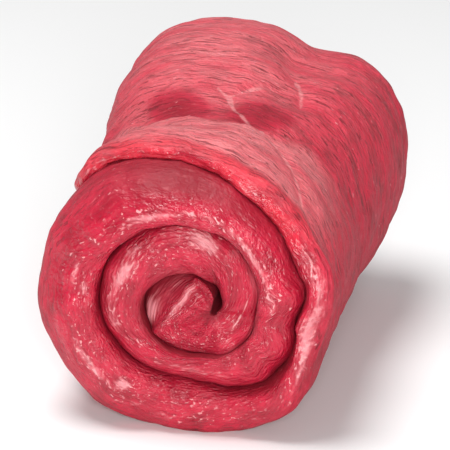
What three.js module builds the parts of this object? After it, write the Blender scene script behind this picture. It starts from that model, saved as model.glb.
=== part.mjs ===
// A raw beef roulade: one slice of beef rolled up into a spiral of more than three turns, lying on its side.
// Millimetres, +Z up. The roll's axis runs along Y and its front end faces -Y. The origin is the middle of
// the footprint, on the surface that the roulade rests on.
//
// Angles round the roll are counted in degrees from the core outwards, 0 to the right and 90 up as seen from
// the front, and go on past 360 for each further turn. Depths are counted from the front face backwards.

import * as THREE from "three";
import { ParametricGeometry } from "three/addons/geometries/ParametricGeometry.js";
import { mergeVertices } from "three/addons/utils/BufferGeometryUtils.js";

const { clamp, degToRad, euclideanModulo, lerp, radToDeg, smoothstep } = THREE.MathUtils;

const ROLL_LENGTH = 86;
const BEEF_COLOUR = 0xc23a50;

// The parting line between the turns, by its radius at each quarter turn from the core outwards. A turn of
// the slice fills the space between this line and the same line one turn further in.
const QUARTER_RADII = [0.6, 4.3, 13, 7.5, 9.7, 15.8, 16.1, 14.9, 21.5, 23.4, 26.2, 26.9, 27.8, 26.2, 28];
const CORE_RADIUS = QUARTER_RADII[0];
const OUTER_RADIUS = 27;
const TURN_GAP = 0.35;

// The line first winds round the core, which lies off the roll's axis, and further out round the axis.
const CORE_CENTRE = new THREE.Vector2(6.9, -1.6);
const DRIFT_FROM = 200;
const DRIFT_TO = 720;

// The slice's two ends, where it thins out to an edge.
const TONGUE_ANGLE = 90;
const TONGUE_TAPER = 40;
const TAIL_ANGLE = 1230;
const TAIL_TAPER = 24;
const TAIL_CORNER = 8;

// How far back each turn's front edge lies, and how far inside the back face its back edge ends, by angle.
const FRONT_SETBACK = [[90, 2], [360, 1.4], [700, 0], [1085, 0.8], [1135, 5], [1180, 8.6], [1230, 11]];
const BACK_SETBACK = [[90, 6], [400, 4], [720, 1.6], [900, 2.5], [1080, 3], [1150, 0], [1230, 1.5]];
const EDGE_WAVES = [
  { height: 0.5, cycles: 3.3, start: 40 },
  { height: 0.3, cycles: 8.1, start: 110 },
];

// The rounding of the slice's long edges towards its outer and its inner face, as shares of its thickness,
// by angle. The crest between them is shifted towards the tongue's free face at first, and towards the inner
// face in the outer turns, which lean back so that the roll's end is domed.
const OUTER_ROUNDING = [[200, 0.3], [400, 0.6], [560, 0.6], [820, 0.8], [990, 0.5], [1150, 0.8]];
const INNER_ROUNDING = [[300, 0], [440, 0.5]];
const CREST_SHIFT = [[200, -0.3], [400, 0], [560, 0], [820, 0.38]];

// Places at the front where a turn stands off from the next one, and how deep that gap goes in.
const FRONT_OPENINGS = [
  { angle: 156, spread: 30, width: 5.6, depth: 11 },
  { angle: 680, spread: 20, width: 1.1, depth: 5 },
  { angle: 728, spread: 16, width: 1.3, depth: 5 },
];

// The wrapped body: a ridge behind the outer turn's front edge, a valley, and a fuller rear with two lobes.
// The rear grows only off the floor, above a direction given by its sine.
const RIDGE = { angle: 115, spread: 60, height: 1.4, depth: 16, reach: 8 };
const FRONT_BULGE = { angle: 312, spread: 20, height: 1.7, depth: 3, reach: 12 };
const VALLEY = { angle: 132, spread: 55, height: -2.7, depth: 33, reach: 12 };
const REAR_FROM = 32;
const REAR_TO = 66;
const REAR_GROWTH = 2.4;
const GROWTH_FROM_SINE = -0.9;
const GROWTH_TO_SINE = -0.1;
const REAR_DIP = { angle: 64, spread: 13, height: -2.9 };
const LEFT_LOBE = { angle: 121, spread: 24, height: 3.1 };
const RIGHT_LOBE = { angle: 34, spread: 26, height: 2.6 };
const BACK_ROUNDING = 2;
const BACK_REACH = 9;

const FLAT_CUT = 1.1;

// The mesh: a station every 10 degrees along the spiral, and a closed outline of the slice's section at each.
const STATION_STEP = 10;
const FACE_STEPS = 11;
const EDGE_STEPS = 6;
const OUTLINE_STEPS = 2 * (FACE_STEPS + EDGE_STEPS);

// A smooth hill of height 1 at distance 0.
const hill = (distance, reach) => Math.exp(-((distance / reach) ** 2));

// A named form of the body, at a direction round the roll.
const formAt = (form, direction) =>
  form.height * hill(euclideanModulo(direction - form.angle + 180, 360) - 180, form.spread);

// Reads a list of [angle, value] pairs, with smooth steps between them.
function valueAt(pairs, angle) {
  const after = pairs.findIndex(([a]) => a >= angle);
  if (after === 0) return pairs[0][1];
  if (after < 0) return pairs[pairs.length - 1][1];
  const [a0, v0] = pairs[after - 1];
  const [a1, v1] = pairs[after];
  return lerp(v0, v1, smoothstep(angle, a0, a1));
}

// The parting line's radius, by a Catmull-Rom curve through the quarter turns.
function partingRadius(angle) {
  const quarter = Math.floor(angle / 90);
  const t = angle / 90 - quarter;
  const radius = (k) => QUARTER_RADII[clamp(k, 0, QUARTER_RADII.length - 1)];
  const [before, here, next, beyond] = [-1, 0, 1, 2].map((k) => radius(quarter + k));
  const slopeHere = (next - before) / 2;
  const slopeNext = (beyond - here) / 2;
  const cubic = 2 * here - 2 * next + slopeHere + slopeNext;
  const square = -3 * here + 3 * next - 2 * slopeHere - slopeNext;
  return Math.max(CORE_RADIUS, ((cubic * t + square) * t + slopeHere) * t + here);
}

// A point of the parting line, seen from the front.
function partingPoint(angle) {
  const settled = smoothstep(angle, DRIFT_FROM, DRIFT_TO);
  return new THREE.Vector2(Math.cos(degToRad(angle)), Math.sin(degToRad(angle)))
    .multiplyScalar(partingRadius(angle))
    .addScaledVector(CORE_CENTRE, 1 - settled);
}

// The share of its full thickness that the slice has near its two ends.
function endTaper(angle) {
  const tongue = clamp((angle - TONGUE_ANGLE) / TONGUE_TAPER, 0, 1);
  const tail = clamp((TAIL_ANGLE - angle) / TAIL_TAPER, 0, 1);
  return Math.sqrt(tongue * (2 - tongue) * tail * (2 - tail));
}

// How far the cut edges wander from their straight course.
const edgeWave = (angle) =>
  EDGE_WAVES.reduce((sum, w) => sum + w.height * Math.sin(degToRad(angle * w.cycles + w.start)), 0);

// The extra gap outside a turn, at an angle and a depth behind its front edge.
const openingAt = (angle, depth) =>
  FRONT_OPENINGS.reduce(
    (sum, o) => sum + o.width * hill(angle - o.angle, o.spread) * Math.exp(-Math.max(depth, 0) / o.depth),
    0,
  );

// One rounded edge of the slice's section, from its outer side (turn 0) to its inner side (turn pi).
function edgePoint(turn, angle, thickness) {
  const rounding = valueAt(turn < Math.PI / 2 ? OUTER_ROUNDING : INNER_ROUNDING, angle);
  return {
    side: Math.cos(turn) - valueAt(CREST_SHIFT, angle) * Math.sin(turn) ** 2,
    inset: rounding * thickness * (1 - Math.sin(turn)),
  };
}

// The slice's section outline: side is 1 on its outer face and -1 on its inner face, and depth runs from the
// front edge to the back edge. share goes once round it.
function sectionPoint(share, angle, thickness, front, back) {
  const step = share * OUTLINE_STEPS;
  const face = (turn, along) => {
    const { side, inset } = edgePoint(turn, angle, thickness);
    return { side, depth: lerp(front + inset, back - inset, along) };
  };
  if (step <= FACE_STEPS) return face(0, step / FACE_STEPS);
  const pastOuter = step - FACE_STEPS;
  if (pastOuter <= EDGE_STEPS) return face((Math.PI * pastOuter) / EDGE_STEPS, 1);
  const pastBack = pastOuter - EDGE_STEPS;
  if (pastBack <= FACE_STEPS) return face(Math.PI, 1 - pastBack / FACE_STEPS);
  return face(Math.PI * (1 - (pastBack - FACE_STEPS) / EDGE_STEPS), 0);
}

// How far the wrapped body stands out from the plain spiral, in a direction round the roll and at a depth.
function bodySwell(direction, depth) {
  const turn = degToRad(direction);
  const rear = smoothstep(depth, REAR_FROM, REAR_TO);
  const offFloor = smoothstep(Math.sin(turn), GROWTH_FROM_SINE, GROWTH_TO_SINE);
  const lobes = [REAR_DIP, LEFT_LOBE, RIGHT_LOBE].reduce((sum, form) => sum + formAt(form, direction), 0);
  const rings = [FRONT_BULGE, RIDGE, VALLEY].reduce(
    (sum, form) => sum + formAt(form, direction) * hill(depth - form.depth, form.reach),
    0,
  );
  return (
    rings +
    rear * (REAR_GROWTH * offFloor + lobes) -
    BACK_ROUNDING * smoothstep(depth, ROLL_LENGTH - BACK_REACH, ROLL_LENGTH)
  );
}

// A point of the rolled slice: outline runs round the slice's section, spiral from the tongue to the tail.
function rolledSlice(outline, spiral, target) {
  const angle = lerp(TONGUE_ANGLE, TAIL_ANGLE, spiral);
  const inner = partingPoint(angle - 360);
  const outer = partingPoint(angle);
  const thickness = inner.distanceTo(outer);
  const outwards = outer.clone().sub(inner).normalize();
  const taper = endTaper(angle);

  const nearTail = clamp((angle - TAIL_ANGLE + TAIL_TAPER) / TAIL_TAPER, 0, 1);
  const corner = TAIL_CORNER * (1 - Math.sqrt(1 - nearTail ** 2));
  const front = valueAt(FRONT_SETBACK, angle) + corner + edgeWave(angle);
  const back = ROLL_LENGTH - valueAt(BACK_SETBACK, angle) - corner + edgeWave(angle + 180);
  const { side, depth } = sectionPoint(outline, angle, thickness * taper, front, back);

  const outerFace = thickness - TURN_GAP / 2 - openingAt(angle, depth - front);
  const middle = (TURN_GAP / 2 + outerFace) / 2;
  const half = (middle - TURN_GAP / 2) * taper;
  const point = inner.addScaledVector(outwards, middle + side * half);

  const radius = point.length();
  const swell = bodySwell(radToDeg(Math.atan2(point.y, point.x)), depth);
  point.setLength(radius + (radius / OUTER_RADIUS) * swell);
  target.set(point.x, depth, point.y);
}

// Lays the roulade on its flattened underside, with the origin in the middle of its footprint.
function settle(geometry) {
  geometry.computeBoundingBox();
  const { min, max } = geometry.boundingBox;
  geometry.translate(-(min.x + max.x) / 2, -(min.y + max.y) / 2, -min.z - FLAT_CUT);
  const position = geometry.getAttribute("position");
  for (let i = 0; i < position.count; i++) position.setZ(i, Math.max(0, position.getZ(i)));
}

function makeRoulade() {
  const stations = (TAIL_ANGLE - TONGUE_ANGLE) / STATION_STEP;
  const rolled = new ParametricGeometry(rolledSlice, OUTLINE_STEPS, stations);
  rolled.deleteAttribute("normal");
  rolled.deleteAttribute("uv");
  const geometry = mergeVertices(rolled, 1e-3);
  settle(geometry);
  geometry.computeVertexNormals();
  const beef = new THREE.MeshStandardMaterial({ color: BEEF_COLOUR, roughness: 0.35, metalness: 0 });
  const mesh = new THREE.Mesh(geometry, beef);
  mesh.name = "beef_roulade";
  return mesh;
}

const roulade = new THREE.Group();
roulade.add(makeRoulade());

export default roulade;
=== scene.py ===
"""A raw beef roulade: one slice of beef, cut flat, rolled up into a spiral and laid on its side.

Metres, +Z up. The roll's axis runs along Y and its front end faces -Y. The slice is shaped flat first, in its
own millimetres: X runs along it from the tongue in the core to the tail, Y from its front edge to its back
edge, and Z from its inner to its outer face. Angles round the roll are in degrees, 0 to the right and 90 up
as seen from the front, and go on past 360 for each further turn. Depths are measured back from the front end.
"""

import math

import bpy
import numpy as np
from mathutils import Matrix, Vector, noise


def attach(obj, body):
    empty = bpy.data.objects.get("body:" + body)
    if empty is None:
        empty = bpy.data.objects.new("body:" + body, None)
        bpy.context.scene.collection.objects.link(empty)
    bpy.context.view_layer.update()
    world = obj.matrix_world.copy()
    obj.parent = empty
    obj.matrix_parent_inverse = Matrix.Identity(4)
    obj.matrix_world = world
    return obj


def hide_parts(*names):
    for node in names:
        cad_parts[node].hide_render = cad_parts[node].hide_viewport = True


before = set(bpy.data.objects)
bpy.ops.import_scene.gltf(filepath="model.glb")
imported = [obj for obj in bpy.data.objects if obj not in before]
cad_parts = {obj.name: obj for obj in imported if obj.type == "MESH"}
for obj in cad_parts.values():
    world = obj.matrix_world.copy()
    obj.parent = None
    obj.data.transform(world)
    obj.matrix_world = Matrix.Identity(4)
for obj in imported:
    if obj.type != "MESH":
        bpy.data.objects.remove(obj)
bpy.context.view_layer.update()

MM = 0.001

# The roll, as the solid in the frame has it.
ROLL_LENGTH = 86
QUARTER_RADII = np.array([0.6, 4.3, 13, 7.5, 9.7, 15.8, 16.1, 14.9, 21.5, 23.4, 26.2, 26.9, 27.8, 26.2, 28])
OUTER_RADIUS = 27
CORE_CENTRE = (6.9, -1.6)
DRIFT_FROM, DRIFT_TO = 200, 720
TONGUE_ANGLE, TONGUE_TAPER = 90, 40
TAIL_ANGLE, TAIL_TAPER, TAIL_CORNER = 1230, 24, 8
FRONT_SETBACK = [(90, 2), (360, 1.4), (700, 0), (1085, 0.8), (1135, 5), (1180, 9.4), (1230, 13.5)]
BACK_SETBACK = [(90, 6), (400, 4), (720, 1.6), (900, 2.5), (1080, 3), (1150, 0), (1230, 1.5)]
EDGE_WAVES = [(0.5, 3.3, 40), (0.3, 8.1, 110)]
RING_FORMS = [(312, 20, 1.7, 3, 12), (115, 60, 1.4, 16, 8), (132, 55, -2.7, 33, 12)]
REAR_FORMS = [(64, 13, -2.9), (121, 24, 3.1), (34, 26, 2.6)]
REAR_FROM, REAR_TO, REAR_GROWTH = 32, 66, 2.4
BACK_ROUNDING, BACK_REACH = 2, 9
AXIS_PLACE = (-1.149, -43.007, 25.644)

# Finer forms of the cut edges and of the line between the turns than the solid has. Pairs give an angle and a
# value there: the rounding in slice thicknesses, and the crest's shift to the inner face in half thicknesses.
# A kink and an opening give an angle, its spread, the size in millimetres and how far back it reaches.
TURN_GAP = 0.06
OUTER_ROUNDING = [
    (200, 0.2), (240, 0.09), (280, 0.02), (375, 0.02), (450, 0.4), (560, 0.45), (820, 0.75), (990, 0.5),
    (1035, 0.55), (1058, 0.4), (1080, 0.4), (1100, 0.5), (1150, 0.5),
]
INNER_ROUNDING = [
    (300, 0), (440, 0.2), (600, 0.12), (640, 0.03), (730, 0.03), (770, 0.15), (830, 0.4), (1060, 0.4),
    (1110, 0.2),
]
CREST_SHIFT = [
    (200, -0.5), (380, 0), (470, -0.3), (540, 0), (630, 0.45), (720, 0.25), (800, 0.7), (900, 0.5),
    (990, 0.2), (1035, 0.3), (1058, 0.75), (1078, 0.75), (1105, 0.1),
]
PARTING_KINKS = [
    (674, 23, 3.2, 12), (697, 13, 2.3, 12), (727, 10, 3.0, 9), (864, 12, -1.0, 13), (1088, 14, 1.3, 10),
    (1224, 12, -0.9, 14),
]
FRONT_OPENINGS = [(686, 8, 1.1, 8), (728, 14, 0.6, 9), (655, 25, 0.3, 9), (1062, 13, 0.9, 16)]

# The tongue's straight side: the way it faces, how far it lies from the core, and how far back it reaches.
TONGUE_SIDE_FACING, TONGUE_SIDE_DISTANCE, TONGUE_SIDE_REACH = 144, 6.5, 3.4

# The middle of the core, where the ends even out: how far back each end lies, and within what distance.
POLE_FRONT, POLE_BACK, POLE_REACH = 1.9, 5.5, 4.5

# Spots of pale fatty tissue, and of painted glints on the crests, on the cut front edge: angle, its spread,
# side (-1 inner, 1 outer face), its spread and the amount.
FAT_AND_GLINT_SPOTS = [
    (160, 40, 0.72, 0.25, 1.0), (277, 25, -0.65, 0.2, 1.3), (340, 30, 0.0, 0.25, 0.4),
    (446, 12, 0.5, 0.3, 1.2), (468, 9, 0.8, 0.25, 0.6), (496, 10, 0.6, 0.2, 0.7), (515, 12, 0.25, 0.3, 1.2),
    (548, 20, 0.35, 0.35, 0.6), (620, 30, -0.1, 0.2, 0.45), (640, 22, 0.1, 0.14, 0.6),
    (735, 30, -0.4, 0.2, 0.4), (738, 16, -0.1, 0.15, 0.35), (768, 14, -0.55, 0.12, 0.65),
    (800, 60, -0.45, 0.2, 0.45), (832, 14, -0.58, 0.12, 0.7), (876, 6, 0.15, 0.08, 0.8),
    (886, 7, -0.2, 0.09, 0.9), (895, 5, -0.6, 0.12, 0.8), (924, 12, 0.4, 0.1, 0.9),
    (936, 16, -0.1, 0.13, 1.0), (958, 4, -0.35, 0.15, 1.4), (985, 40, 0.2, 0.2, 0.4),
    (1068, 18, -0.1, 0.7, 1.2), (1095, 14, 0, 0.8, 0.5), (1140, 8, 0, 0.8, 0.5), (1205, 14, 0.2, 0.5, 0.5),
]

# The flat slice and its mesh. The length cuts divide edges along the slice, and the skin cuts those across
# it: each pair gives the length that an edge has to pass, and the number of cuts.
SLICE_WIDTH = 86
SLICE_THICKNESS = 8
FRONT_SEGMENTS, BACK_SEGMENTS = 13, 8
LENGTH_CUTS = ((20, 79), (1, 7))
END_ROWS = (1, 2.5, 4.5, 7, 10, 15, 22, 31)
SKIN_CUTS = ((8, 15), (6, 11), (4, 7), (2.9, 5), (2.2, 4), (1.9, 3), (1.2, 2), (0.95, 1))
CLOSE, MERGED_WITHIN = 0.01, 0.02
THIN_END = 0.07

# The crease behind the front band, and the white seam across the top, by direction round the roll and depth.
CREASE = [
    (20, 32), (35, 33), (45, 34.5), (55, 30.5), (67, 27.5), (83, 26.5), (99, 30), (112, 32.5), (120, 34.5),
    (135, 40), (160, 44),
]
SEAM_LINES = [
    [(92, 44.6), (86, 41.5), (81, 36.6), (73, 31.8), (65, 26.3), (54, 21.4), (44, 15.5), (37, 11)],
    [(86, 41.5), (78, 47), (68, 50)],
    [(64, 57.6), (59, 51), (57, 46)],
]
BAND_HEIGHT, BAND_REACH = 0.75, 9
HOLLOW_DEPTH, HOLLOW_REACH = 0.55, 5
SEAM_DENT, FAR_FROM_SEAM = 0.45, 99.0

# The two soft lobes behind the crease: direction, its spread, distance behind the crease, its reach, and how
# far they bulge or how red they are.
LOBE_BULGES = [(106, 15, 9, 5, 0.5), (66, 14, 10, 6, 0.4)]
LOBE_REDS = [(106, 15, 6, 5, 1), (70, 13, 8, 6, 0.9)]

# The pale ridge in the core, the shaded face under the lip, and where the bright lip begins.
RIDGE_ANGLE, RIDGE_SPREAD = 186, 14
RIDGE_DEPTH, RIDGE_REACH, RIDGE_HEIGHT = 2.2, 0.6, 0.5
UNDER_LIP_ANGLE, UNDER_LIP_SPREAD = 808, 42
LIP_FROM, LIP_FULL = 1095, 1120

# Unevenness of the skin and of the cut edges: its size along and across the fibres, a layer of the noise, and
# the height. The folds of the right flank lie aslant.
SKIN_UNEVENNESS = [(17, 12, 1, 0.7), (11, 3.6, 4, 0.34), (5, 1.3, 8, 0.16)]
CUT_UNEVENNESS = [(6, 4.5, 2, 0.4), (6, 1.3, 5, 0.22), (1.6, 1.2, 6, 0.12)]
FLANK_DIRECTION, FLANK_SPREAD = 5, 55
FLANK_FOLDS, FLANK_SLANT = 0.2, math.radians(35)

# The meat's colours, in linear RGB. Some also paint light: shade, sheen on the top and glints.
DARK_FLESH, BRIGHT_FLESH = (0.36, 0.005, 0.024, 1), (0.58, 0.012, 0.046, 1)
LIGHT_STRAND, DARK_STRAND = (0.68, 0.04, 0.08, 1), (0.20, 0.005, 0.014, 1)
# Dark red of the lobes, also used to paint shade.
DEEP_RED_AND_SHADE = (0.24, 0.0045, 0.016, 1)
# Pale membrane, also used to paint sheen on the top.
PALE_FILM_AND_SHEEN = (0.71, 0.185, 0.20, 1)
BRIGHT_LIP = (0.66, 0.03, 0.053, 1)
# Pale fatty tissue, also used to paint glints.
PALE_FAT_AND_GLINT = (0.80, 0.27, 0.30, 1)
PALE_THREAD, DARK_DASH = (0.75, 0.18, 0.20, 1), (0.14, 0.005, 0.013, 1)
# Painted shade in the wrinkles.
WRINKLE_SHADE = (0.20, 0.006, 0.016, 1)
# The first colour paints glints; the white of the seam is its own.
PAINTED_GLINT, WHITE_SEAM = (0.82, 0.36, 0.37, 1), (0.80, 0.36, 0.36, 1)


def smoothstep(value, low, high):
    t = np.clip((value - low) / (high - low), 0, 1)
    return t * t * (3 - 2 * t)


def hill(distance, reach):
    return np.exp(-((distance / reach) ** 2))


def bent(direction):
    """A difference of directions, brought to -180 to 180."""
    return (direction + 180) % 360 - 180


def stepped(pairs, angle):
    """A value that goes smoothly from each pair of the list to the next."""
    steps = sum((b[1] - a[1]) * smoothstep(angle, a[0], b[0]) for a, b in zip(pairs, pairs[1:]))
    return pairs[0][1] + steps


def mottle(x, y, z):
    """Smooth noise of about -1 to 1 at each point. One z for all the points gives a layer of its own."""
    z = np.broadcast_to(z, x.shape)
    return np.array([noise.noise(place) for place in zip(x.tolist(), y.tolist(), z.tolist())])


def unevenness(along, across, layers):
    """Layers of noise, each drawn out along the fibres."""
    return sum(height * mottle(along / length, across / width, layer)
               for length, width, layer, height in layers)


def parting_radius(angle, depth):
    """The radius of the line between the turns, by a Catmull-Rom curve through the quarter turns."""
    quarter = np.floor(angle / 90).astype(int)
    t = angle / 90 - quarter
    last = len(QUARTER_RADII) - 1
    before, here, after, beyond = (QUARTER_RADII[np.clip(quarter + k, 0, last)] for k in (-1, 0, 1, 2))
    slope_here, slope_after = (after - before) / 2, (beyond - here) / 2
    cubic = 2 * here - 2 * after + slope_here + slope_after
    square = 3 * (after - here) - 2 * slope_here - slope_after
    radius = np.maximum(QUARTER_RADII[0], ((cubic * t + square) * t + slope_here) * t + here)
    for at, spread, height, reach in PARTING_KINKS:
        radius = radius + height * hill(angle - at, spread) * np.exp(-np.maximum(depth, 0) / reach)
    return radius


def parting_point(angle, depth):
    """A point of the line between the turns, as seen from the front, with the slice's small unevenness."""
    off_axis = 1 - smoothstep(angle, DRIFT_FROM, DRIFT_TO)
    radius, turn = parting_radius(angle, depth), np.radians(angle)
    across, up = radius * np.cos(turn), radius * np.sin(turn)
    uneven = 0.32 * mottle(across / 5, up / 5, depth / 11 + 7)
    uneven += 0.16 * mottle(across / 2.2, up / 2.2, depth / 8)
    uneven *= smoothstep(radius, 2, 8)
    return np.stack([across + uneven * np.cos(turn) + CORE_CENTRE[0] * off_axis,
                     up + uneven * np.sin(turn) + CORE_CENTRE[1] * off_axis], axis=-1)


def length_along(depth=40.0, places=3000):
    """The angles of the roll against the length of slice that has been rolled up to each of them."""
    angles = np.linspace(TONGUE_ANGLE, TAIL_ANGLE, places)
    course = parting_point(angles, np.full(angles.shape, depth))
    steps = np.linalg.norm(np.diff(course, axis=0), axis=1)
    return angles, np.concatenate([[0], np.cumsum(steps)])


ROLLED_ANGLES, ROLLED_LENGTHS = length_along()
SLICE_LENGTH = float(ROLLED_LENGTHS[-1])
SKIN_FROM = TAIL_ANGLE - 372
CORE_UNTIL = 400


def body_swell(direction, depth):
    """How far the wrapped body stands out from the plain spiral."""
    rings = sum(height * hill(bent(direction - at), spread) * hill(depth - place, reach)
                for at, spread, height, place, reach in RING_FORMS)
    lobes = sum(height * hill(bent(direction - at), spread) for at, spread, height in REAR_FORMS)
    off_floor = smoothstep(np.sin(np.radians(direction)), -0.9, -0.1)
    return (rings + smoothstep(depth, REAR_FROM, REAR_TO) * (REAR_GROWTH * off_floor + lobes)
            - BACK_ROUNDING * smoothstep(depth, ROLL_LENGTH - BACK_REACH, ROLL_LENGTH))


def tongue_opening(angle, depth):
    """How far the tongue's straight side stands in from the line between the turns, at its front edge."""
    turned = np.clip(angle - TONGUE_SIDE_FACING, -45, 70)
    straight = TONGUE_SIDE_DISTANCE / np.cos(np.radians(turned))
    return np.where(turned < 70, np.maximum(parting_radius(angle, depth) - straight, 0), 0)


class RolledSlice:
    """The flat slice's points, rolled up, with what the relief and the tones need to know of each."""

    def __init__(self, flat):
        self.length, self.across, self.height = flat.T
        self.angle = np.interp(self.length, ROLLED_LENGTHS, ROLLED_ANGLES)
        self.at_front = self.across < SLICE_WIDTH / 2
        self.find_edges()
        self.find_partings()
        self.set_ends()
        self.roll()
        self.lay_fibres()
        self.mark_zones()

    def find_edges(self):
        """Where each point lies on the rounded long edges: bow is 1 on the crest, side -1 to 1 across it."""
        half = SLICE_THICKNESS / 2
        inwards = half - np.minimum(self.across, SLICE_WIDTH - self.across)
        self.on_edge = inwards > 0
        self.turn = np.arctan2(np.maximum(inwards, 0), self.height)
        self.bow = np.where(self.on_edge, np.sin(self.turn), 0)
        crest = stepped(CREST_SHIFT, self.angle) * self.bow ** 2
        self.side = np.where(self.on_edge, np.cos(self.turn) - crest, np.sign(self.height))
        self.along = np.clip((self.across - half) / (SLICE_WIDTH - 2 * half), 0, 1)

    def find_partings(self):
        """The line between the turns under each point, the way out from it, and how the ends taper."""
        depth = np.clip(self.across, 0, SLICE_WIDTH)
        self.inner, outer = parting_point(self.angle - 360, depth), parting_point(self.angle, depth)
        self.thickness = np.linalg.norm(outer - self.inner, axis=1)
        self.outwards = (outer - self.inner) / self.thickness[:, None]
        tongue = np.clip((self.angle - TONGUE_ANGLE) / TONGUE_TAPER, 0, 1)
        tail = np.clip((TAIL_ANGLE - self.angle) / TAIL_TAPER, 0, 1)
        self.taper = THIN_END + (1 - THIN_END) * np.sqrt(tongue * (2 - tongue) * tail * (2 - tail))
        self.corner = TAIL_CORNER * (1 - np.sqrt(1 - (1 - tail) ** 2))

    def waves(self, start):
        """The long waves of a cut edge, which start at another angle for each end."""
        return sum(size * np.sin(np.radians((self.angle + start) * cycles + phase))
                   for size, cycles, phase in EDGE_WAVES)

    def rags(self, along, across, layer):
        """The short uneven bits of a cut edge, by their size along and across it."""
        return mottle(self.length / along, self.side / across, layer)

    def set_ends(self):
        """How far back each point lies: the ends are set back, wavy, ragged and rounded."""
        rounding = np.where(self.height > 0, stepped(OUTER_ROUNDING, self.angle),
                            stepped(INNER_ROUNDING, self.angle))
        inset = rounding * self.thickness * self.taper * (1 - self.bow)
        ragged = 0.25 + 0.35 * smoothstep(self.angle, LIP_FROM - 55, LIP_FROM + 5)
        front_wave = self.waves(0) + ragged * self.rags(4.2, 3, 3) + 0.4 * ragged * self.rags(1.5, 2, 9)
        back_wave = self.waves(180) + 0.4 * self.rags(4.5, 3, 17)

        from_pole = np.linalg.norm(self.inner - CORE_CENTRE, axis=1) + (1 + self.side) / 2 * self.thickness
        settled = smoothstep(from_pole, 0, POLE_REACH)
        front_setback = stepped(FRONT_SETBACK, self.angle) + self.corner + front_wave
        back_setback = stepped(BACK_SETBACK, self.angle) + self.corner - back_wave
        front = front_setback * settled + POLE_FRONT * (1 - settled)
        back = ROLL_LENGTH - back_setback * settled - POLE_BACK * (1 - settled)
        self.depth = front + inset + (back - front - 2 * inset) * self.along
        self.behind = self.depth - front
        self.from_edge = np.minimum(self.behind, back - self.depth)

    def roll(self):
        """The place of each point, as seen from the front, between the lines on its two sides."""
        opening = sum(width * hill(self.angle - at, spread) * (1 - smoothstep(self.behind, 0, reach))
                      for at, spread, width, reach in FRONT_OPENINGS)
        beside_tongue = tongue_opening(self.angle, self.depth)
        opening = opening + beside_tongue * (1 - smoothstep(self.behind, 0.3, TONGUE_SIDE_REACH))
        outer_face = self.thickness - TURN_GAP / 2 - opening
        middle = (TURN_GAP / 2 + outer_face) / 2
        half_thick = (middle - TURN_GAP / 2) * self.taper
        self.thick = 2 * half_thick
        self.place = self.inner + self.outwards * (middle + self.side * half_thick)[:, None]
        self.direction = (np.degrees(np.arctan2(self.place[:, 1], self.place[:, 0])) + 90) % 360 - 90
        self.place *= (1 + body_swell(self.direction, self.depth) / OUTER_RADIUS)[:, None]

    def lay_fibres(self):
        """The distances along the slice and over its surface, from its outer face round either edge."""
        round_edge = self.turn * np.maximum(self.thick, 1) * 0.6
        from_side = SLICE_WIDTH * np.where(self.at_front, self.along, 1 - self.along)
        inner_face = -round_edge - from_side
        sheet = np.where(self.on_edge, -round_edge, np.where(self.height > 0, from_side, inner_face))
        self.girth = np.where(self.at_front, sheet, SLICE_WIDTH - sheet)
        self.pole_gap = np.linalg.norm(self.place - CORE_CENTRE, axis=1)
        core_length = np.interp(CORE_UNTIL, ROLLED_ANGLES, ROLLED_LENGTHS)
        in_core = core_length + self.pole_gap * np.radians(self.angle - CORE_UNTIL)
        self.course = np.where(self.angle < CORE_UNTIL, in_core, self.length)

    def mark_zones(self):
        """How far each point belongs to the skin, the ridge in the core and the face under the lip, which has
        painted shadow.
        """
        self.skin = smoothstep(self.side, 0.1, 0.95) * smoothstep(self.angle, SKIN_FROM - 60, SKIN_FROM + 40)
        self.seam = self.seam_distance()
        self.past_crease = self.depth - np.interp(self.direction, *zip(*CREASE))
        self.ridge = (hill(self.angle - RIDGE_ANGLE, RIDGE_SPREAD)
                      * hill(self.behind - RIDGE_DEPTH, RIDGE_REACH) * smoothstep(self.side, 0.8, 1))
        # Painted shadow: the face under the lip is darkened as if the lip shaded it.
        self.under_lip_shadow = (hill(self.angle - UNDER_LIP_ANGLE, UNDER_LIP_SPREAD)
                          * smoothstep(self.side, -0.2, 0.6) * self.at_front)

    def points(self):
        return np.stack([self.place[:, 0] + AXIS_PLACE[0], self.depth + AXIS_PLACE[1],
                         self.place[:, 1] + AXIS_PLACE[2]], axis=-1)

    def seam_distance(self):
        """How far each point lies from the white seam, over the skin."""
        arc = np.radians(OUTER_RADIUS)
        place = np.stack([self.direction * arc, self.depth], axis=-1)
        wander = 0.5 * mottle(place[:, 0] / 3, place[:, 1] / 3, 31)
        nearest = np.full(len(place), FAR_FROM_SEAM)
        for line in SEAM_LINES:
            for start, end in zip(line, line[1:]):
                a, b = np.array([start[0] * arc, start[1]]), np.array([end[0] * arc, end[1]])
                share = np.clip((place - a) @ (b - a) / np.sum((b - a) ** 2), 0, 1)
                gap = np.linalg.norm(place - a - share[:, None] * (b - a), axis=1)
                nearest = np.minimum(nearest, gap)
        return np.where(self.skin > 0, nearest + wander, FAR_FROM_SEAM)

    def lobes(self, forms):
        """How much of the two soft lobes there is at each point."""
        return sum(amount * hill(bent(self.direction - at), spread) * hill(self.past_crease - place, reach)
                   for at, spread, place, reach, amount in forms)

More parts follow.
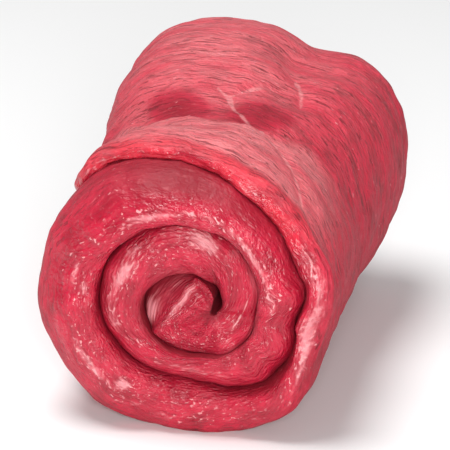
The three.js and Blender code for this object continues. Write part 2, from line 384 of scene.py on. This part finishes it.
    def relief(self):
        """How far the surface stands out from the smooth slice, in millimetres."""
        u, g, past = self.course, self.girth, self.past_crease
        on_skin = self.skin * smoothstep(self.from_edge, 0, 3)
        band = BAND_HEIGHT * (1 - smoothstep(past, -0.7, 0.9)) * np.exp(np.minimum(past, 0) / BAND_REACH)
        hollow = HOLLOW_DEPTH * smoothstep(past, -0.5, 0.9) * np.exp(-np.maximum(past, 0) / HOLLOW_REACH)
        crease_strength = smoothstep(self.direction, 10, 40) * (1 - smoothstep(self.direction, 110, 150))
        slanted_u = u * np.cos(FLANK_SLANT) + g * np.sin(FLANK_SLANT)
        slanted_g = g * np.cos(FLANK_SLANT) - u * np.sin(FLANK_SLANT)
        right_flank = hill(bent(self.direction - FLANK_DIRECTION), FLANK_SPREAD)
        skin = ((band - hollow) * crease_strength - unevenness(u, g, SKIN_UNEVENNESS)
                - SEAM_DENT * hill(self.seam, 1.3) + self.lobes(LOBE_BULGES)
                + FLANK_FOLDS * right_flank * mottle(slanted_u / 9, slanted_g / 1.8, 12))
        calm = smoothstep(self.pole_gap, 0.5, 5) * (1 - 0.6 * self.under_lip_shadow)
        cut = unevenness(u, g, CUT_UNEVENNESS) * self.bow ** 1.5 * (1 - on_skin) * calm
        return skin * on_skin + RIDGE_HEIGHT * self.ridge - cut

    def tones(self):
        """How much pale membrane and painted sheen, bright lip, and dark red and painted shade each point
        has.
        """
        d, past = self.direction, self.past_crease
        lobes = np.minimum(self.lobes(LOBE_REDS), 1)
        faded_from = -1.5 - 6 * (1 - smoothstep(d, 45, 75))
        front_band = (smoothstep(self.behind, 1.5, 5) * (1 - smoothstep(past, faded_from, 0.8))
                      * smoothstep(d, 5, 50) * (1 - smoothstep(d, 115, 200)))
        # Painted sheen: the top of the body is paler, more so further back, except on the lobes.
        top_sheen = ((0.55 + 0.22 * smoothstep(past, 10, 30)) * hill(bent(d - 100), 55)
                * (1 - smoothstep(lobes, 0.1, 0.5)))
        # The pale membrane of the front band is the meat's own; the paler top is painted sheen.
        film_and_sheen = self.skin * np.maximum(front_band, top_sheen) * smoothstep(self.angle, 870, 930)

        by_lip = self.skin * (1 - smoothstep(self.behind, 2, 5.5))
        lip = smoothstep(self.angle, LIP_FROM, LIP_FULL) * np.maximum(self.bow, by_lip) * self.at_front

        # Painted shade: the low right flank is darker, as if in shadow.
        low_flank_shade = 0.5 * hill(bent(d - 330), 40)
        # Painted shade in the crease behind the front band.
        crease_shade = 0.6 * hill(past - 0.6, 1.0) * smoothstep(d, 25, 45) * (1 - smoothstep(d, 110, 135))
        deep_red_and_shade = self.skin * (lobes + low_flank_shade + crease_shade)
        # Painted shade in the grooves between the turns: darker away from the crests of the cut edges.
        crest = 0.3 * smoothstep(self.bow, 0, 0.3) + 0.7 * smoothstep(self.bow, 0.3, 0.85)
        groove_shade = (1 - crest) * (1 - self.skin)
        # The third tone is the lobes' own dark red together with painted shade in the grooves, the crease,
        # the low flank and under the lip.
        deepest_red_and_shade = np.maximum(np.maximum(deep_red_and_shade, groove_shade), self.under_lip_shadow)
        return np.clip(np.stack([film_and_sheen, lip, deepest_red_and_shade], axis=-1), 0, 1)

    def fat_and_glints(self):
        """How much pale fatty tissue and painted glint show at each point of the cut front edge and of the
        ridge.
        """
        return self.ridge + self.at_front * self.bow ** 2 * sum(
            size * hill(self.angle - at, spread) * hill(self.side - side, reach)
            for at, spread, side, reach, size in FAT_AND_GLINT_SPOTS)


def pick_edges(test):
    """Selects, in edit mode, the edges whose two ends pass a test."""
    bpy.ops.mesh.select_mode(type="EDGE")
    bpy.ops.mesh.select_all(action="DESELECT")
    bpy.ops.object.mode_set(mode="OBJECT")
    mesh = bpy.context.object.data
    points = np.empty(len(mesh.vertices) * 3)
    mesh.vertices.foreach_get("co", points)
    ends = np.empty(len(mesh.edges) * 2, int)
    mesh.edges.foreach_get("vertices", ends)
    ends = points.reshape(-1, 3)[ends.reshape(-1, 2)]
    mesh.edges.foreach_set("select", test(ends[:, 0], ends[:, 1]))
    bpy.ops.object.mode_set(mode="EDIT")


def flat_slice():
    """The slice laid flat: rows cut across it, its long edges rounded, then divided along its length."""
    half = SLICE_THICKNESS / 2
    bpy.ops.object.select_all(action="DESELECT")
    bpy.ops.mesh.primitive_cube_add(size=1, location=(0, 0, 0))
    piece = bpy.context.object
    piece.name = "rolled_beef_slice"
    bpy.ops.object.mode_set(mode="EDIT")
    bpy.ops.mesh.select_all(action="SELECT")
    bpy.ops.transform.resize(value=(SLICE_LENGTH, SLICE_WIDTH, SLICE_THICKNESS))
    bpy.ops.transform.translate(value=(SLICE_LENGTH / 2, SLICE_WIDTH / 2, 0))

    for edge, segments in ((0, FRONT_SEGMENTS), (SLICE_WIDTH, BACK_SEGMENTS)):
        pick_edges(lambda a, b: (np.abs(a[:, 0] - b[:, 0]) > 1) & (np.abs(a[:, 1] - edge) < CLOSE))
        bpy.ops.mesh.bevel(offset=half, segments=segments, affect="EDGES")
    bpy.ops.mesh.select_all(action="SELECT")
    bpy.ops.mesh.remove_doubles(threshold=MERGED_WITHIN)
    for row in END_ROWS:
        for place in (half + row, SLICE_WIDTH - half - row):
            bpy.ops.mesh.select_all(action="SELECT")
            bpy.ops.mesh.bisect(plane_co=(0, place, 0), plane_no=(0, 1, 0))

    for least, cuts in LENGTH_CUTS:
        pick_edges(lambda a, b: np.abs(a[:, 0] - b[:, 0]) > least)
        bpy.ops.mesh.subdivide(number_cuts=cuts)

    shown_from = float(np.interp(SKIN_FROM, ROLLED_ANGLES, ROLLED_LENGTHS))
    for least, cuts in SKIN_CUTS:
        pick_edges(lambda a, b: (a[:, 2] > half - CLOSE) & (b[:, 2] > half - CLOSE) & (a[:, 0] > shown_from)
                   & (np.abs(a[:, 1] - b[:, 1]) > least))
        bpy.ops.mesh.subdivide(number_cuts=cuts)
    bpy.ops.object.mode_set(mode="OBJECT")
    return piece


def roll_up(piece):
    """Rolls the flat slice up, gives it its relief and stores the grain and the tones for its material."""
    mesh = piece.data
    flat = np.empty(len(mesh.vertices) * 3)
    mesh.vertices.foreach_get("co", flat)
    roll = RolledSlice(flat.reshape(-1, 3))
    points = roll.points()
    mesh.vertices.foreach_set("co", (points * MM).ravel())
    mesh.flip_normals()  # rolled up, the slice lies mirrored
    mesh.update()
    outwards = np.empty(len(mesh.vertices) * 3)
    mesh.vertex_normals.foreach_get("vector", outwards)
    points += outwards.reshape(-1, 3) * roll.relief()[:, None]
    points[:, 2] = np.maximum(points[:, 2], 0)
    mesh.vertices.foreach_set("co", (points * MM).ravel())
    grain = np.stack([roll.course, roll.girth, roll.seam], axis=-1)
    edge = np.stack([roll.bow, roll.fat_and_glints(), roll.skin], axis=-1)
    for name, values in (("grain", grain), ("edge", edge), ("tones", roll.tones())):
        mesh.attributes.new(name, "FLOAT_VECTOR", "POINT").data.foreach_set("vector", values.ravel())
    mesh.update()


class Shade:
    """An output of a node; sums and products of it add Math nodes."""

    def __init__(self, finish, socket):
        self.finish, self.socket = finish, socket

    def maths(self, operation, *values):
        return self.finish.node("Math", {"operation": operation}, dict(enumerate(values)))

    def __add__(self, other):
        return self.maths("ADD", self, other)

    __radd__ = __add__

    def __mul__(self, other):
        return self.maths("MULTIPLY", self, other)

    def __sub__(self, other):
        return self.maths("SUBTRACT", self, other)

    def __rsub__(self, other):
        return self.maths("SUBTRACT", other, self)

    def between(self, low, high):
        """0 at low, 1 at high, with a smooth step between them."""
        return self.finish.node("MapRange", {"interpolation_type": "SMOOTHSTEP"}, {0: self, 1: low, 2: high})


class Finish:
    """A material, and the nodes that are added to it."""

    def __init__(self, name):
        self.material = bpy.data.materials.new(name)
        self.material.use_nodes = True
        self.nodes, self.links = self.material.node_tree.nodes, self.material.node_tree.links
        self.shader = self.nodes["Principled BSDF"]

    def node(self, kind, settings=None, inputs=None, output=0):
        made = self.nodes.new("ShaderNode" + kind)
        for name, value in (settings or {}).items():
            setattr(made, name, value)
        self.fill(made, inputs or {})
        return Shade(self, made.outputs[output])

    def fill(self, made, inputs):
        for name, value in inputs.items():
            if isinstance(value, Shade):
                self.links.new(value.socket, made.inputs[name])
            else:
                made.inputs[name].default_value = value

    def attribute(self, name):
        """A stored vector of the piece: the vector itself and its three numbers."""
        vector = self.node("Attribute", {"attribute_name": name}, output=1)
        return (vector, *(self.node("SeparateXYZ", None, {0: vector}, output=k) for k in range(3)))

    def grain(self, vector, length, width, detail=3, distortion=0.0, shift=0.0):
        """Noise that is drawn out along the first of a vector's axes."""
        place = self.node("VectorMath", {"operation": "MULTIPLY_ADD"},
                          {0: vector, 1: (1 / length, 1 / width, 0), 2: (shift, shift, shift)})
        return self.node("TexNoise", None, {"Vector": place, "Scale": 1.0, "Detail": detail,
                                            "Distortion": distortion})

    def mixed(self, amount, below, above):
        """One colour over another."""
        return self.node("Mix", {"data_type": "RGBA"}, {0: amount, 6: below, 7: above}, output=2)


def raw_beef():
    """Red flesh with drawn-out fibres, pale membrane, bright lip, dark red, fatty tissue, fine wrinkles;
    painted shade, sheen, glints.
    """
    finish = Finish("raw_beef")
    grain, _, _, seam = finish.attribute("grain")
    _, film_and_sheen, lip, deep_red_and_shade = finish.attribute("tones")
    _, bow, fat_and_glints, skin = finish.attribute("edge")

    blotch = finish.grain(grain, 7, 4, detail=5, distortion=0.3, shift=3)
    strand = finish.grain(grain, 4.5, 0.8, detail=5, distortion=0.5, shift=11)
    thread = finish.grain(grain, 2.2, 0.42, detail=2, distortion=0.8, shift=23)
    fleck = finish.grain(grain, 1.3, 0.75, detail=2, distortion=0.4, shift=41)
    drift = finish.grain(grain, 12, 4, detail=2, shift=57)
    fold = finish.grain(grain, 3.8, 0.65, detail=1, distortion=1.0, shift=71)

    flesh = finish.mixed(blotch.between(0.32, 0.68 - skin * 0.12), DARK_FLESH, BRIGHT_FLESH)
    flesh = finish.mixed(strand.between(0.45, 0.75) * (0.35 - skin * 0.15), flesh, LIGHT_STRAND)
    flesh = finish.mixed(strand.between(0.46, 0.28) * (0.35 - skin * 0.15), flesh, DARK_STRAND)
    # Dark red of the lobes, and painted shade in the grooves, the crease, the low flank and under the lip.
    flesh = finish.mixed(deep_red_and_shade * 0.92, flesh, DEEP_RED_AND_SHADE)
    # Pale membrane on the front band, and painted sheen on the top of the body.
    flesh = finish.mixed(film_and_sheen * (0.42 + drift.between(0.3, 0.65) * 0.5), flesh, PALE_FILM_AND_SHEEN)
    flesh = finish.mixed(lip * (0.1 + blotch.between(0.3, 0.6) * 0.8), flesh, BRIGHT_LIP)
    # Pale fatty tissue, and painted glints where the glint spots lie.
    flesh = finish.mixed((fat_and_glints * 0.8 + strand * 0.7 + fleck * 0.9).between(0.95, 1.6) * 0.85, flesh, PALE_FAT_AND_GLINT)
    flesh = finish.mixed(thread.between(0.55, 0.72) * (0.13 + film_and_sheen * 0.35), flesh, PALE_THREAD)
    flesh = finish.mixed(thread.between(0.42, 0.30) * blotch.between(0.35, 0.6) * 0.25, flesh, DARK_DASH)

    # Painted shade in the skin's wrinkles: darker along the folds that the bump dents.
    wrinkle = fold.between(0.43, 0.3) * skin * (0.4 + drift.between(0.38, 0.6) * 0.6)
    flesh = finish.mixed(wrinkle * 0.75, flesh, WRINKLE_SHADE)
    # Painted glints: small pale specks along the crests of the cut edges, where wet highlights would be.
    crest = bow.between(0.75, 1.0)
    glints = (fleck + crest * 0.06 + fat_and_glints * 0.12).between(0.67, 0.75)
    flesh = finish.mixed(glints * (drift.between(0.42, 0.62) + crest * 0.45) * 0.65, flesh, PAINTED_GLINT)
    white_seam = seam.between(0.55, 0.1) * strand.between(0.2, 0.5)
    flesh = finish.mixed(white_seam * 0.4, flesh, WHITE_SEAM)

    height = (strand * 0.5 + thread * 0.15 + fleck * 0.7 + blotch * 0.5 - wrinkle * 0.8) * (1 - deep_red_and_shade * 0.45)
    bump = finish.node("Bump", None, {"Strength": 0.8, "Distance": 0.0008, "Height": height})
    finish.fill(finish.shader, {
        "Base Color": flesh,
        "Roughness": 0.13 + blotch * 0.2 + skin * 0.36 + deep_red_and_shade * 0.36,
        "Specular IOR Level": 0.45,
        "Normal": bump,
        "Subsurface Weight": 0.12,
        "Subsurface Radius": (1.0, 0.25, 0.15),
        "Subsurface Scale": 0.003,
    })
    return finish.material


def pale_floor():
    """Plain and matt, so that the meat's own colours show."""
    finish = Finish("pale_floor")
    finish.fill(finish.shader, {"Base Color": (0.86, 0.86, 0.86, 1), "Roughness": 0.8})
    return finish.material


slice_piece = flat_slice()
roll_up(slice_piece)
bpy.ops.object.shade_smooth()
slice_piece.data.materials.append(raw_beef())

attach(slice_piece, "root")
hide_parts("beef_roulade")

# The floor, the lights and the camera.
FLOOR_SIZE = 6
LIGHT_TARGET = Vector((0, 0, 0.03))
ROOM_LIGHT = 0.28
VIEW_AZIMUTH, VIEW_ELEVATION, VIEW_DISTANCE = math.radians(12.5), math.radians(22.5), 0.484
FRONT_END, VIEW_TARGET = Vector((-0.0004, -0.043, 0.0263)), Vector((-0.0004, 0, 0.0248))
SENSOR_WIDTH, LENS, NEAREST = 36, 219.84, 0.01

bpy.ops.object.select_all(action="DESELECT")
bpy.ops.mesh.primitive_plane_add(size=FLOOR_SIZE, location=(0, 0, 0))
floor = bpy.context.object
floor.name = "floor"
floor.data.materials.append(pale_floor())


def aimed(place, target):
    """The turn of a lamp or camera that looks from its place to a target."""
    return (target - Vector(place)).to_track_quat("-Z", "Y").to_euler()


def soft_light(name, place, size, power):
    light = bpy.data.lights.new(name, "AREA")
    light.shape = "DISK"
    light.size = size
    light.energy = power
    lamp = bpy.data.objects.new(name, light)
    bpy.context.scene.collection.objects.link(lamp)
    lamp.location = place
    lamp.rotation_euler = aimed(place, LIGHT_TARGET)


soft_light("overhead_light", place=(-0.16, -0.08, 0.8), size=0.4, power=5.6)
soft_light("front_light", place=(0.2, -0.75, 0.32), size=0.25, power=4.8)

world = bpy.data.worlds.new("pale_room")
world.use_nodes = True
room = world.node_tree.nodes["Background"]
room.inputs["Color"].default_value = (1, 1, 1, 1)
room.inputs["Strength"].default_value = ROOM_LIGHT
bpy.context.scene.world = world
bpy.context.scene.view_settings.view_transform = "Standard"

camera = bpy.data.objects.new("camera", bpy.data.cameras.new("camera"))
bpy.context.scene.collection.objects.link(camera)
away = Vector((math.sin(VIEW_AZIMUTH) * math.cos(VIEW_ELEVATION),
               -math.cos(VIEW_AZIMUTH) * math.cos(VIEW_ELEVATION), math.sin(VIEW_ELEVATION)))
camera.location = FRONT_END + away * VIEW_DISTANCE
camera.rotation_euler = aimed(camera.location, VIEW_TARGET)
camera.data.sensor_width = SENSOR_WIDTH
camera.data.lens = LENS
camera.data.clip_start = NEAREST
bpy.context.scene.camera = camera
